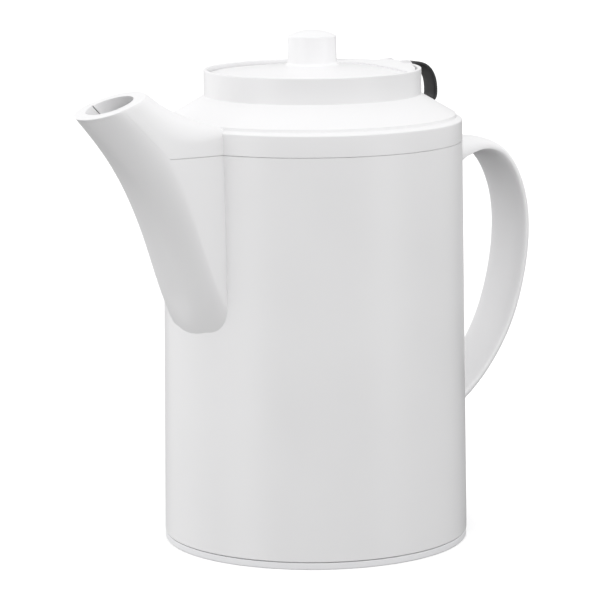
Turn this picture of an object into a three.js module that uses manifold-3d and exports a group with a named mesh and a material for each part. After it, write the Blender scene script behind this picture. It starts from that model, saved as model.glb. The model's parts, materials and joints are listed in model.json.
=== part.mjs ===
// Insulated coffee pot: a double-walled plastic server with a side spout, a band handle
// and a lift-up lid that hangs on a rubber strap.
//
// Millimetres, +Z up. Origin: centre of the flat underside, on the pot's axis.
// The spout points along -X, the handle along +X, and Y is across the pot.

import * as THREE from 'three';
import { mergeVertices } from 'three/addons/utils/BufferGeometryUtils.js';
import Module from 'manifold-3d';

const wasm = await Module();
wasm.setup();

// ---- driving dimensions ----------------------------------------------------

const GAP = 0.3;                    // clearance between two pieces that touch
const ROUND = 56;                   // facets round a large turned piece

const BASE_HEIGHT = 3.6;            // base cover, seen as a thin ring under the casing
const BASE_RADIUS = 70.5;
const SEAM_HEIGHT = 185.2;          // seam between the lower and the upper casing
const SEAM_RADIUS = 68.6;
const BAND_TOP = 195.3;             // top edge of the upright band of the upper casing
const BAND_RADIUS = 68.5;
const SHOULDER_RADIUS = 65.4;       // outer end of the sloped shoulder
const SHOULDER_LOW = 197.4;
const NECK_RADIUS = 49.9;
const NECK_LOW = 206.5;
const NECK_TOP = 218.4;
const NECK_WALL = 1.6;
const CASING_WALL = 2.5;

const VESSEL_RADIUS = 59.8;         // outside of the inner vessel
const VESSEL_WALL = 1.8;
const VESSEL_LOW = 14;
const VESSEL_SHOULDER = 188;
const MOUTH_RADIUS = 43.5;
const MOUTH_TOP = 213;
const FOAM_RADIUS = 63;

const LID_UNDER = 213.4;            // the lid cover rests just over the vessel's rim
const LID_RADIUS = 47.4;
const LID_EDGE_TOP = 216.3;
const LID_FOOT_TOP = 219.5;
const LID_FOOT = 13.1;              // radius of the level middle of the lid, under the knob
const RIDGE_X = 29.5;               // straight ridge behind which the lid runs back level
const PLUG_RADIUS = 42.0;
const PLUG_LOW = 203;
const KNOB_RADIUS = 11.1;
const KNOB_LOW = 220.2;
const KNOB_TOP = 236;

const HINGE_X = 49;                 // axis of the pin that the lid swings on
const HINGE_Z = 216.4;
const PIN_RADIUS = 1.1;
const STRAP_WIDTH = 9;
const STRAP_THICKNESS = 1.6;
const STRAP_PLAY = 0.4;             // room for the strap between the ears and under the hood
const EYE_RADIUS = 1.9;             // rolled end of the strap, round the pin
const EAR_WIDTH = 3;
const EAR_RADIUS = 3.2;
const EAR_ROOT = 38.5;              // the ears start to rise from the lid here
const HOOD_END = 46.9;              // the hood between the ears covers the strap's eye up to here
const NOTCH_HALF_WIDTH = STRAP_WIDTH / 2 + EAR_WIDTH + 1.2;
const NOTCH_DEPTH = 3.6;            // below the hinge's axis
const LID_BACK = 45.2;              // the lid is cut straight here, to clear the neck as it swings

const HANDLE_WIDTH = 26;

// ---- geometry helpers ------------------------------------------------------

function toSolid(geometry) {
  const bare = geometry.clone();
  bare.deleteAttribute('normal');
  bare.deleteAttribute('uv');
  const merged = mergeVertices(bare, 1e-4);
  return new wasm.Manifold(new wasm.Mesh({
    numProp: 3,
    vertProperties: new Float32Array(merged.attributes.position.array),
    triVerts: new Uint32Array(merged.index.array),
  }));
}

function toGeometry(solid) {
  const mesh = solid.getMesh();
  const geometry = new THREE.BufferGeometry();
  geometry.setAttribute('position', new THREE.BufferAttribute(mesh.vertProperties, 3));
  geometry.setIndex(new THREE.BufferAttribute(mesh.triVerts, 1));
  geometry.computeVertexNormals();
  return geometry;
}

function moved(geometry, x, y, z) {
  return toSolid(geometry.clone().translate(x, y, z));
}

// A turned solid from [radius, height] points listed from the bottom of the axis upwards
// round the outside, or round a closed ring.
function turned(points, facets = ROUND) {
  const outline = points.map(([r, z]) => new THREE.Vector2(r, z));
  const first = outline[0];
  const last = outline[outline.length - 1];
  if (first.x > 0 || last.x > 0) outline.push(first.clone());
  return toSolid(new THREE.LatheGeometry(outline, facets).rotateX(Math.PI / 2));
}

// A flat plate with an outline of [x, z] points, centred on y = 0.
function plateXZ(points, width) {
  const shape = new THREE.Shape(points.map(([x, z]) => new THREE.Vector2(x, z)));
  const geometry = new THREE.ExtrudeGeometry(shape, { depth: width, bevelEnabled: false });
  return toSolid(geometry.rotateX(Math.PI / 2).translate(0, width / 2, 0));
}

function pinAlongY(radius, length, x, z, facets = 16) {
  return moved(new THREE.CylinderGeometry(radius, radius, length, facets), x, 0, z);
}

function pinAlongX(radius, length, x, z, facets = 14) {
  const geometry = new THREE.CylinderGeometry(radius, radius, length, facets).rotateZ(Math.PI / 2);
  return moved(geometry, x, 0, z);
}

function box(sizeX, sizeY, sizeZ, x, y, z) {
  return moved(new THREE.BoxGeometry(sizeX, sizeY, sizeZ), x, y, z);
}

// A solid skinned over a row of cross-sections. sectionPoint(t, angle, r) gives the point at t
// along the row, at an angle round the section, r = 1 on the skin and 0 at the section's middle.
function skinned(sectionPoint, around, steps) {
  const geometry = new THREE.CylinderGeometry(1, 1, 1, around, steps);
  const position = geometry.attributes.position;
  for (let i = 0; i < position.count; i += 1) {
    const x = position.getX(i);
    const z = position.getZ(i);
    const t = position.getY(i) + 0.5;
    const point = sectionPoint(t, Math.atan2(z, x), Math.hypot(x, z));
    position.setXYZ(i, point.x, point.y, point.z);
  }
  if (signedVolume(geometry) < 0) turnFaces(geometry);
  return toSolid(geometry);
}

function signedVolume(geometry) {
  const { position } = geometry.attributes;
  const corners = [new THREE.Vector3(), new THREE.Vector3(), new THREE.Vector3()];
  let total = 0;
  for (let i = 0; i < geometry.index.count; i += 3) {
    corners.forEach((corner, k) => corner.fromBufferAttribute(position, geometry.index.getX(i + k)));
    total += corners[0].dot(corners[1].clone().cross(corners[2])) / 6;
  }
  return total;
}

function turnFaces(geometry) {
  const { index } = geometry;
  for (let i = 0; i < index.count; i += 3) {
    const second = index.getX(i + 1);
    index.setX(i + 1, index.getX(i + 2));
    index.setX(i + 2, second);
  }
}

const mix = THREE.MathUtils.lerp;

// A value that passes smoothly through the given ones as t goes from 0 to 1.
function smoothValue(values, t) {
  const points = values.map((value) => new THREE.Vector3(value, 0, 0));
  return new THREE.CatmullRomCurve3(points).getPoint(THREE.MathUtils.clamp(t, 0, 1)).x;
}

// ---- spout -----------------------------------------------------------------

// The spout is a horn. Each cross-section runs from its upper edge, which ends as the back of
// the rim, to its lower edge, which ends as the lip. Distances are outwards from the pot's axis.
const SPOUT_SECTIONS = [
  { upper: [34, 188], lower: [44, 72], halfWidth: 23.2, upperCorner: 4, lowerCorner: 15 },
  { upper: [50, 192.5], lower: [62.6, 94], halfWidth: 23, upperCorner: 4, lowerCorner: 15 },
  { upper: [64, 197.3], lower: [74, 116], halfWidth: 22.4, upperCorner: 5, lowerCorner: 16 },
  { upper: [72.5, 200.2], lower: [84.3, 142], halfWidth: 21.5, upperCorner: 9, lowerCorner: 17 },
  { upper: [80, 203.8], lower: [97.4, 168], halfWidth: 20, upperCorner: 13, lowerCorner: 16.5 },
  { upper: [87.2, 208.2], lower: [112, 188], halfWidth: 17.3, upperCorner: 14, lowerCorner: 16 },
  { upper: [93.9, 213.8], lower: [126.2, 203.9], halfWidth: 15, upperCorner: 15, lowerCorner: 15 },
];
const SPOUT_DRAFT = 0.06;           // how much wider the horn is along its lower edge, at its root

function curveXZ(points) {
  return new THREE.CatmullRomCurve3(points.map(([out, z]) => new THREE.Vector3(-out, 0, z)));
}

const upperEdge = curveXZ(SPOUT_SECTIONS.map((section) => section.upper));
const lowerEdge = curveXZ(SPOUT_SECTIONS.map((section) => section.lower));
const halfWidths = SPOUT_SECTIONS.map((section) => section.halfWidth);
const upperCorners = SPOUT_SECTIONS.map((section) => section.upperCorner);
const lowerCorners = SPOUT_SECTIONS.map((section) => section.lowerCorner);

// The point of a box with soft corners at an angle round it.
function softBox(angle, halfLength, halfWidth, corner) {
  const c = Math.cos(angle);
  const s = Math.sin(angle);
  const power = 2 + 4 * Math.max(0, 1 - corner / Math.max(halfLength, halfWidth));
  const scale = (Math.abs(c) ** power + Math.abs(s) ** power) ** (-1 / power);
  return [halfLength * c * scale, halfWidth * s * scale];
}

// The point of an outline with straight sides and round corners, on the way from the middle of
// its lower end (turn = 0) past one side to the middle of its upper end (turn = 1).
function roundCornered(turn, halfLength, halfWidth, upperCorner, lowerCorner) {
  const endShare = 0.1;
  const cornerShare = 0.25;
  const sideStart = endShare + cornerShare;
  const sideEnd = 1 - sideStart;
  if (turn > sideEnd) {
    const [along, across] = roundCornered(1 - turn, halfLength, halfWidth, lowerCorner, upperCorner);
    return [-along, across];
  }
  if (turn >= sideStart) {
    const share = (turn - sideStart) / (sideEnd - sideStart);
    return [mix(halfLength - lowerCorner, upperCorner - halfLength, share), halfWidth];
  }
  if (turn <= endShare) return [halfLength, (halfWidth - lowerCorner) * turn / endShare];
  const bend = (turn - endShare) / cornerShare * Math.PI / 2;
  return [
    halfLength - lowerCorner + lowerCorner * Math.cos(bend),
    halfWidth - lowerCorner + lowerCorner * Math.sin(bend),
  ];
}

// The horn's skin, taken in by inset and run past the rim by overrun.
function spoutHorn(inset, overrun) {
  return skinned((t, angle, r) => {
    const top = upperEdge.getPoint(t);
    const low = lowerEdge.getPoint(t);
    const middle = top.clone().lerp(low, 0.5);
    const down = low.clone().sub(top);
    const halfLength = down.length() / 2 - inset;
    down.normalize();
    const [along, across] = roundCornered(
      Math.abs(angle) / Math.PI,
      halfLength,
      smoothValue(halfWidths, t) - inset,
      Math.max(smoothValue(upperCorners, t) - inset, 1.5),
      smoothValue(lowerCorners, t) - inset,
    );
    const point = middle.addScaledVector(down, along * r);
    point.y = Math.sign(angle) * across * r * (1 + SPOUT_DRAFT * (1 - t) * along / halfLength);
    if (overrun > 0 && t === 1) {
      point.x += down.z * overrun;
      point.z -= down.x * overrun;
    }
    return point;
  }, 40, 16);
}

// The round channel from the vessel to the lip.
const channel = curveXZ([
  [54, 141], [64, 151], [74, 164], [83.5, 178],
  [91.5, 188.8], [99.3, 198.2], [110, 208.8], [114, 212.8],
]);

// Everything above the slanted plane of the rim, taken down by a depth.
function aboveRim(depth) {
  const [backOut, backZ] = SPOUT_SECTIONS.at(-1).upper;
  const [lipOut, lipZ] = SPOUT_SECTIONS.at(-1).lower;
  const slope = (backZ - lipZ) / (lipOut - backOut);
  const reach = 12;
  return plateXZ([
    [-lipOut - reach, lipZ - reach * slope - depth], [-backOut + reach, backZ + reach * slope - depth],
    [-backOut + reach, 250], [-lipOut - reach, 250],
  ], 60);
}

function channelTube(radiusLow, radiusHigh) {
  return skinned((t, angle, r) => {
    const centre = channel.getPoint(t);
    const tangent = channel.getTangent(t);
    const radius = mix(radiusLow, radiusHigh, t) * r;
    const side = radius * Math.cos(angle);
    return new THREE.Vector3(
      centre.x - tangent.z * side,
      radius * Math.sin(angle),
      centre.z + tangent.x * side,
    );
  }, 20, 10);
}

// ---- casing ----------------------------------------------------------------

function casingShell() {
  const outside = turned([
    [0, BASE_HEIGHT + GAP], [BASE_RADIUS, BASE_HEIGHT + GAP], [SEAM_RADIUS, SEAM_HEIGHT],
    [BAND_RADIUS, BAND_TOP - 0.9], [BAND_RADIUS - 0.8, BAND_TOP],
    [SHOULDER_RADIUS + 0.9, BAND_TOP + 0.7], [SHOULDER_RADIUS, SHOULDER_LOW],
    [NECK_RADIUS, NECK_LOW], [NECK_RADIUS, NECK_TOP], [0, NECK_TOP],
  ]);
  const inside = turned([
    [0, -1], [BASE_RADIUS - CASING_WALL, -1], [SEAM_RADIUS - CASING_WALL, SEAM_HEIGHT],
    [BAND_RADIUS - CASING_WALL, BAND_TOP - CASING_WALL], [NECK_RADIUS - NECK_WALL, NECK_LOW - 1.5],
    [NECK_RADIUS - NECK_WALL, NECK_TOP + 1], [0, NECK_TOP + 1],
  ]);
  const notchHeight = 12;
  const notchMiddle = HINGE_Z - NOTCH_DEPTH + notchHeight / 2;
  const notch = box(20, 2 * NOTCH_HALF_WIDTH, notchHeight, HINGE_X, 0, notchMiddle);
  const shell = outside.add(spoutHorn(0, 0));
  return shell.subtract(inside.add(spoutHorn(CASING_WALL, 1.5))).subtract(notch);
}

// Everything above the seam: level round the body, then up the sides of the spout to the rim.
function aboveSeam(lift) {
  const turnOut = 91.9;
  const rimOut = 113;
  const rimHeight = 208.2;
  return plateXZ([
    [90, SEAM_HEIGHT + lift], [90, 240], [-rimOut - 32, 240],
    [-rimOut, rimHeight + lift], [-turnOut, SEAM_HEIGHT + lift],
  ], 160);
}

const shell = casingShell();
const handleScrewHeights = [175.5, 53.5];
const SCREW_RADIUS = 1.8;
const SCREW_REACH = 76;

function lowerCasing() {
  let solid = shell.subtract(aboveSeam(-GAP / 2));
  for (const z of handleScrewHeights) {
    solid = solid.subtract(pinAlongX(SCREW_RADIUS + GAP, 20, BASE_RADIUS, z));
  }
  return solid;
}

function upperCasing() {
  return shell.intersect(aboveSeam(GAP / 2)).subtract(tetherAnchor(GAP));
}

// A disc with a low collar that stands up inside the casing.
function baseCover() {
  const floor = 2.4;
  const collarTop = 9;
  const collarOutside = BASE_RADIUS - CASING_WALL - GAP;
  const collarInside = BASE_RADIUS - CASING_WALL - 2;
  return turned([
    [0, 0], [BASE_RADIUS - 1.2, 0], [BASE_RADIUS - 0.2, 1], [BASE_RADIUS - 0.2, BASE_HEIGHT],
    [collarOutside, BASE_HEIGHT], [collarOutside, collarTop], [collarInside, collarTop],
    [collarInside, floor], [0, floor],
  ]);
}

// ---- inner vessel and insulation -------------------------------------------

const channelBore = channelTube(11.6, 11.6);

function innerVessel() {
  const inner = VESSEL_RADIUS - VESSEL_WALL;
  const solid = turned([
    [0, VESSEL_LOW], [VESSEL_RADIUS - 8, VESSEL_LOW], [VESSEL_RADIUS, VESSEL_LOW + 8],
    [VESSEL_RADIUS, VESSEL_SHOULDER], [MOUTH_RADIUS + VESSEL_WALL, VESSEL_SHOULDER + 12],
    [MOUTH_RADIUS + VESSEL_WALL, MOUTH_TOP - 3], [NECK_RADIUS - NECK_WALL - GAP, MOUTH_TOP - 3],
    [NECK_RADIUS - NECK_WALL - GAP, MOUTH_TOP], [MOUTH_RADIUS, MOUTH_TOP],
    [MOUTH_RADIUS, VESSEL_SHOULDER + 11], [inner, VESSEL_SHOULDER - 1], [inner, VESSEL_LOW + 9],
    [inner - 7, VESSEL_LOW + VESSEL_WALL], [0, VESSEL_LOW + VESSEL_WALL],
  ]);
  return solid.subtract(channelBore);
}

function neckGasket() {
  const outer = NECK_RADIUS - NECK_WALL - GAP;
  const inner = outer - 2.6;
  const low = MOUTH_TOP - 5.6;
  const high = MOUTH_TOP - 3.3;
  return turned([[inner, low], [outer, low], [outer, high], [inner, high]]);
}

function insulationSleeve() {
  const inner = VESSEL_RADIUS + 0.4;
  const low = VESSEL_LOW + 2;
  const high = VESSEL_SHOULDER - 2;
  const sleeve = turned([[inner, low], [FOAM_RADIUS, low], [FOAM_RADIUS, high], [inner, high]]);
  return sleeve.subtract(channelTube(12.2, 12.2));
}

function insulationDisc() {
  const radius = VESSEL_RADIUS - 9;
  const high = VESSEL_LOW - 0.4;
  return turned([[0, 3], [radius, 3], [radius, high], [0, high]]);
}

function spoutLiner() {
  const tube = channelTube(11.3, 11.9).subtract(channelTube(9.9, 10.5));
  const insideVessel = box(60, 40, 60, 30 - VESSEL_RADIUS + 1, 0, 140);
  return tube.subtract(insideVessel).subtract(aboveRim(3));
}

// ---- handle ----------------------------------------------------------------

// Middle line of the band, from the upper root round the grip to the lower root.
const handlePath = new THREE.CatmullRomCurve3([
  [58, 176.4], [70, 177.4], [80, 177.3], [91, 177.2], [101.2, 174.1], [108.8, 167.1],
  [114, 157.6], [117.1, 146.8], [118, 134.5], [116.6, 119.5], [112.8, 104], [107.2, 90],
  [99.6, 77.8], [90.2, 66.8], [78.4, 57], [58, 45],
].map(([x, z]) => new THREE.Vector3(x, 0, z)));

// A flat band with soft edges that flares out inwards at both roots, the upper one more.
function handleSolid() {
  const halfWidth = HANDLE_WIDTH / 2;
  const rootLength = 0.135;
  const upperFlare = 48;
  const lowerFlare = 14;
  const band = skinned((t, angle, r) => {
    const centre = handlePath.getPointAt(t);
    const tangent = handlePath.getTangentAt(t);
    const toRoot = Math.max(0, 1 - Math.min(t, 1 - t) / rootLength) ** 1.6;
    const outer = 3.9 + 1.5 * toRoot;
    const inner = 3.1 + (t < 0.5 ? upperFlare : lowerFlare) * toRoot;
    const corner = halfWidth - 10 * toRoot ** 0.3;
    const [through, across] = softBox(angle, (outer + inner) / 2, halfWidth, corner);
    const offset = r * through + (outer - inner) / 2;
    return new THREE.Vector3(centre.x - tangent.z * offset, across * r, centre.z + tangent.x * offset);
  }, 20, 30);
  const body = turned([
    [0, 0], [BASE_RADIUS + GAP, 0], [SEAM_RADIUS + GAP, SEAM_HEIGHT], [SEAM_RADIUS + GAP, 200], [0, 200],
  ]);
  let solid = band.subtract(body);
  for (const z of handleScrewHeights) {
    const holeLength = SCREW_REACH + GAP - SEAM_RADIUS + CASING_WALL;
    solid = solid.subtract(pinAlongX(SCREW_RADIUS + 0.1, holeLength, SCREW_REACH + GAP - holeLength / 2, z));
  }
  return solid;
}

function handleScrew(z) {
  const wallInside = mix(BASE_RADIUS, SEAM_RADIUS, z / SEAM_HEIGHT) - CASING_WALL;
  const head = pinAlongX(3.6, 2.2, wallInside - 1.6, z);
  const shankLength = SCREW_REACH - wallInside + 0.8;
  const shank = pinAlongX(SCREW_RADIUS, shankLength, SCREW_REACH - shankLength / 2, z);
  return head.add(shank);
}

// ---- lid -------------------------------------------------------------------

// Height of the lid's conical top at a distance from the axis.
function lidTop(radius) {
  const share = (LID_RADIUS - radius) / (LID_RADIUS - LID_FOOT);
  return mix(LID_EDGE_TOP, LID_FOOT_TOP, THREE.MathUtils.clamp(share, 0, 1));
}

// The level part of the lid, from the straight ridge back to the hinge.
function lidShelf() {
  const reach = Math.sqrt(LID_RADIUS ** 2 - RIDGE_X ** 2);
  const facets = 12;
  const outline = [[-reach, LID_UNDER + 1], [reach, LID_UNDER + 1]];
  for (let i = 0; i <= facets; i += 1) {
    const y = mix(reach, -reach, i / facets);
    outline.push([y, lidTop(Math.hypot(RIDGE_X, y)) + 0.1]);
  }
  const shape = new THREE.Shape(outline.map(([y, z]) => new THREE.Vector2(y, z)));
  const geometry = new THREE.ExtrudeGeometry(shape, { depth: 20, bevelEnabled: false });
  return toSolid(geometry.rotateX(Math.PI / 2).rotateZ(Math.PI / 2).translate(RIDGE_X, 0, 0));
}

// Side view of the hinge: a ramp up from the lid and a round end about the pin.
function hingeOutline() {
  const outline = [
    [EAR_ROOT, LID_UNDER + 0.3], [EAR_ROOT, lidTop(EAR_ROOT)],
    [HINGE_X - EAR_RADIUS, HINGE_Z + EAR_RADIUS - 0.3],
  ];
  for (let degrees = 100; degrees >= -105; degrees -= 20.5) {
    const turn = THREE.MathUtils.degToRad(degrees);
    outline.push([HINGE_X + EAR_RADIUS * Math.cos(turn), HINGE_Z + EAR_RADIUS * Math.sin(turn)]);
  }
  return outline;
}

function lidCover() {
  const disc = turned([
    [0, LID_UNDER], [LID_RADIUS, LID_UNDER], [LID_RADIUS, LID_EDGE_TOP - 0.5],
    [LID_RADIUS - 0.5, LID_EDGE_TOP], [LID_FOOT, LID_FOOT_TOP], [0, LID_FOOT_TOP + 0.4],
  ]);
  const limit = LID_RADIUS - 0.5;
  const withinRim = turned([[0, LID_UNDER], [limit, LID_UNDER], [limit, 225], [0, 225]]);
  const backCut = box(12, 60, 12, LID_BACK + 6, 0, HINGE_Z);
  const slotWidth = STRAP_WIDTH + 2 * STRAP_PLAY;
  const hinge = plateXZ(hingeOutline(), slotWidth + 2 * EAR_WIDTH);
  const slot = box(12, slotWidth, 12, HOOD_END + 6, 0, HINGE_Z);
  const eyeRoom = pinAlongY(EYE_RADIUS + STRAP_PLAY, slotWidth, HINGE_X, HINGE_Z, 24);
  const pinHole = pinAlongY(PIN_RADIUS + 0.02, 30, HINGE_X, HINGE_Z);
  return disc.add(lidShelf().intersect(withinRim)).subtract(backCut).add(hinge)
    .subtract(slot).subtract(eyeRoom).subtract(pinHole);
}

function lidKnob() {
  return turned([
    [0, KNOB_LOW], [KNOB_RADIUS + 1, KNOB_LOW], [KNOB_RADIUS, KNOB_LOW + 1.3],
    [KNOB_RADIUS, KNOB_TOP - 3.2], [KNOB_RADIUS - 0.7, KNOB_TOP - 2.5],
    [KNOB_RADIUS - 2.6, KNOB_TOP - 1.6], [KNOB_RADIUS - 6, KNOB_TOP - 0.5], [0, KNOB_TOP],
  ], 36);
}

function lidPlug() {
  return turned([
    [0, PLUG_LOW], [PLUG_RADIUS - 1.8, PLUG_LOW], [PLUG_RADIUS - 0.8, PLUG_LOW + 2],
    [PLUG_RADIUS - 0.4, 207], [PLUG_RADIUS - 2.4, 207.2], [PLUG_RADIUS - 2.4, 210],
    [PLUG_RADIUS, 210.2], [PLUG_RADIUS, MOUTH_TOP + 0.1], [0, MOUTH_TOP + 0.1],
  ]);
}

function lidGasket() {
  return turned([
    [PLUG_RADIUS - 2.1, 207.6], [PLUG_RADIUS + 0.3, 207.6], [PLUG_RADIUS + 0.5, 208.7],
    [PLUG_RADIUS + 0.3, 209.7], [PLUG_RADIUS - 2.1, 209.7],
  ]);
}

// ---- tether ----------------------------------------------------------------

// Middle line of the strap: from the hinge pin outwards, round in an open loop and back to the
// foot of the neck along the shoulder.
const strapPath = new THREE.CatmullRomCurve3([
  [HINGE_X + 1.6, HINGE_Z], [55, 217.2], [60.8, 216.9], [65.5, 214.2], [68.3, 209.5], [69.1, 204],
  [68.2, 200.2], [65.6, 199], [62, 201.1], [57, 204],
].map(([x, z]) => new THREE.Vector3(x, 0, z)));

function tetherStrap() {
  const band = skinned((t, angle, r) => {
    const centre = strapPath.getPointAt(t);
    const tangent = strapPath.getTangentAt(t);
    const [across, through] = softBox(angle, STRAP_WIDTH / 2, STRAP_THICKNESS / 2, 0.5);
    const offset = through * r;
    return new THREE.Vector3(centre.x - tangent.z * offset, across * r, centre.z + tangent.x * offset);
  }, 8, 26);
  const eye = pinAlongY(EYE_RADIUS, STRAP_WIDTH, HINGE_X, HINGE_Z, 20);
  return band.add(eye).subtract(pinAlongY(PIN_RADIUS + 0.08, 30, HINGE_X, HINGE_Z))
    .subtract(tetherAnchor(GAP));
}

function tetherPin() {
  return pinAlongY(PIN_RADIUS, STRAP_WIDTH + 2 * (STRAP_PLAY + EAR_WIDTH) - 1.2, HINGE_X, HINGE_Z);
}

// The button that holds the strap's lower end on the shoulder, standing square to the slope.
// Grown by the gap, it is the hole that it stands in.
function tetherAnchor(grow) {
  const shank = 2 + grow;
  const head = 3.4 + grow;
  const foot = -6 - grow;
  const headLow = 1.2 - grow;
  const headTop = 2.4 + grow;
  const slope = Math.atan2(NECK_LOW - SHOULDER_LOW, SHOULDER_RADIUS - NECK_RADIUS);
  const profile = [
    [0, foot], [shank, foot], [shank, headLow], [head, headLow], [head, headTop], [0, headTop],
  ].map(([r, z]) => new THREE.Vector2(r, z));
  const geometry = new THREE.LatheGeometry(profile, 16).rotateX(Math.PI / 2);
  return toSolid(geometry.rotateY(slope).translate(59.2, 0, 201.2));
}

// ---- assembly --------------------------------------------------------------

const WHITE = 0xe9e9eb;
const pot = new THREE.Group();

function addPiece(name, solid, color, roughness, metalness = 0) {
  const material = new THREE.MeshStandardMaterial({ color, roughness, metalness });
  const mesh = new THREE.Mesh(toGeometry(solid), material);
  mesh.name = name;
  pot.add(mesh);
}

addPiece('lower_casing', lowerCasing(), WHITE, 0.4);
addPiece('upper_casing', upperCasing(), WHITE, 0.4);
addPiece('base_cover', baseCover(), 0xe4e4e6, 0.45);
addPiece('inner_vessel', innerVessel(), 0xdfe0e2, 0.35);
addPiece('spout_liner', spoutLiner(), 0xd9dadc, 0.4);
addPiece('neck_gasket', neckGasket(), 0xb9babc, 0.7);
addPiece('insulation_sleeve', insulationSleeve(), 0xf0ead8, 0.95);
addPiece('insulation_disc', insulationDisc(), 0xf0ead8, 0.95);
addPiece('handle', handleSolid(), WHITE, 0.4);
addPiece('handle_screw_upper', handleScrew(handleScrewHeights[0]), 0x9a9a9c, 0.35, 1);
addPiece('handle_screw_lower', handleScrew(handleScrewHeights[1]), 0x9a9a9c, 0.35, 1);
addPiece('lid_cover', lidCover(), WHITE, 0.4);
addPiece('lid_knob', lidKnob(), WHITE, 0.4);
addPiece('lid_plug', lidPlug(), 0xdfe0e2, 0.45);
addPiece('lid_gasket', lidGasket(), 0xb9babc, 0.7);
addPiece('tether_strap', tetherStrap(), 0x1b1b1d, 0.6);
addPiece('tether_pin', tetherPin(), 0x8c8c8e, 0.3, 1);
addPiece('tether_anchor', tetherAnchor(0), 0xe4e4e6, 0.4);

export default pot;
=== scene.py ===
"""Looks of the insulated coffee pot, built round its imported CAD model.

Shapes are worked out in millimetres in the row frame: +Z up, the spout towards -X, the handle
towards +X. They become metres when a mesh is made.
"""

import json
import math

import bmesh
import bpy
import numpy as np
from mathutils import Matrix, Vector


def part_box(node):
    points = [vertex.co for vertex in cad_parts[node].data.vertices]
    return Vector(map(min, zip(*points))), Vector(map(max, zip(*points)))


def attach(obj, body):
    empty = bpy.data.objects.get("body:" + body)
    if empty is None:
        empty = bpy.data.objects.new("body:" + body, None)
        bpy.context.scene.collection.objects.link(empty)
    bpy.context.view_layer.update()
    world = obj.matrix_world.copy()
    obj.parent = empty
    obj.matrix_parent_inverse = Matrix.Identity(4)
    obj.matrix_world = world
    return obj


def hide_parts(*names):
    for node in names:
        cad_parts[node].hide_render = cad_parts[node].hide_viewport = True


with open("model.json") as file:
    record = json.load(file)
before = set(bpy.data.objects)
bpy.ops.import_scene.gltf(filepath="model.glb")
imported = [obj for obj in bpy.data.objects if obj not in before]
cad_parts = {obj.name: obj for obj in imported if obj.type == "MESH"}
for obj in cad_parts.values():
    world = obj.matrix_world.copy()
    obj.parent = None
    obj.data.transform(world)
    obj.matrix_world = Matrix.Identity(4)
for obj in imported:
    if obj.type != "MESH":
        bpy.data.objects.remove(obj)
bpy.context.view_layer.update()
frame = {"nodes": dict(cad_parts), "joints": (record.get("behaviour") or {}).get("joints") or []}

MM = 0.001

# ---- sizes from the frame ----------------------------------------------------


def cad(node):
    """Lowest and highest corner of a CAD node, in millimetres."""
    low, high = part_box(node)
    return Vector(low) / MM, Vector(high) / MM


hinge = next(joint for joint in frame["joints"] if joint["name"] == "lid_swing")
HINGE = Vector(hinge["pos_m"]) / MM
BASE_RADIUS = cad("lower_casing")[1].y
COLLAR_HEIGHT = 5.5     # how far the base cover's collar stands up inside the casing
BASE_TOP = cad("base_cover")[1].z - COLLAR_HEIGHT
NECK_TOP = cad("upper_casing")[1].z
LID_EDGE_Z = cad("lid_cover")[0].z
KNOB_LOW, KNOB_HIGH = cad("lid_knob")
PLUG_LOW, PLUG_HIGH = cad("lid_plug")
VESSEL_LOW, VESSEL_HIGH = cad("inner_vessel")
PIN_HIGH = cad("tether_pin")[1]
STRAP_HALF_WIDTH = cad("tether_strap")[1].y

# ---- driving dimensions ------------------------------------------------------

SEAM_Z = 185.2          # seam between the lower and the upper casing
SEAM_RADIUS = 68.6
BAND_TOP = 195.3
BAND_RADIUS = 68.5
LEDGE_DIP = 0.45        # the ledge slopes up a little from the band's edge to the shoulder
LEDGE_RISE = 0.7
LEDGE_RADIUS = 65.95    # inner end of the narrow ledge round the shoulder
SHOULDER_RADIUS = 65.7
SHOULDER_LOW = 197.3
NECK_RADIUS = 49.9
NECK_LOW = 206.5
NECK_WALL = 1.7
RIM_ROUND = 0.55
NOTCH_DEPTH = 3.6       # of the opening for the hinge, below the hinge's axis
CASING_WALL = 2.5
SEAM_WIDTH = 0.34
SEAM_DEPTH = 0.5

# Cross-sections of the spout, from its root to its rim: upper and lower edge as distance out
# from the axis and height, half width, and the radius of the upper and lower corners.
SPOUT_SECTIONS = (
    ((34.0, 188.0), (44.0, 72.0), 23.2, 4.0, 16.5),
    ((50.0, 192.5), (62.6, 94.0), 23.0, 4.0, 16.5),
    ((64.0, 197.3), (74.0, 116.0), 22.4, 5.0, 17.0),
    ((72.5, 200.2), (84.3, 142.0), 21.5, 9.0, 17.3),
    ((80.0, 203.8), (97.4, 168.0), 20.0, 13.0, 16.5),
    ((87.2, 208.2), (112.0, 188.0), 17.3, 14.0, 16.0),
    ((93.9, 213.8), (126.2, 203.9), 15.0, 15.0, 15.0),
)
SPOUT_DRAFT = 0.06      # how much wider the spout is along its lower edge, at its root
SPOUT_SAG = 2.2         # how far the middle of the lower edge hangs down where the spout meets the wall
SAG_HALF_WIDTH = 11.0
SAG_END = 0.38          # share of the spout's length where the sag has faded out
SAG_FADE = 0.1          # share of the length over which it fades
LIP_DEPTH = 9.0         # depth of the solid collar round the spout's mouth
LIP_ROUND = 0.5
CHANNEL = (
    (54, 141), (64, 151), (74, 164), (83.5, 178), (91.5, 188.8), (99.3, 198.2), (110, 208.8), (118, 216.8),
)
BORE_RADIUS = 9.75
SEAM_TURN = (-91.9, SEAM_Z)         # where the seam leaves the level and climbs the spout
SEAM_RIM = (-113.0, 208.2)

# Middle line of the handle band, from its upper root round the grip to its lower root.
HANDLE_PATH = (
    (58, 176.4), (70, 177.4), (80, 177.3), (91, 177.2), (101.2, 174.1), (108.8, 167.1), (114, 157.6),
    (117.1, 146.8), (118, 134.5), (116.6, 119.5), (112.8, 104), (107.2, 90), (99.6, 77.8), (90.2, 66.8),
    (78.4, 57), (58, 45),
)

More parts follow.
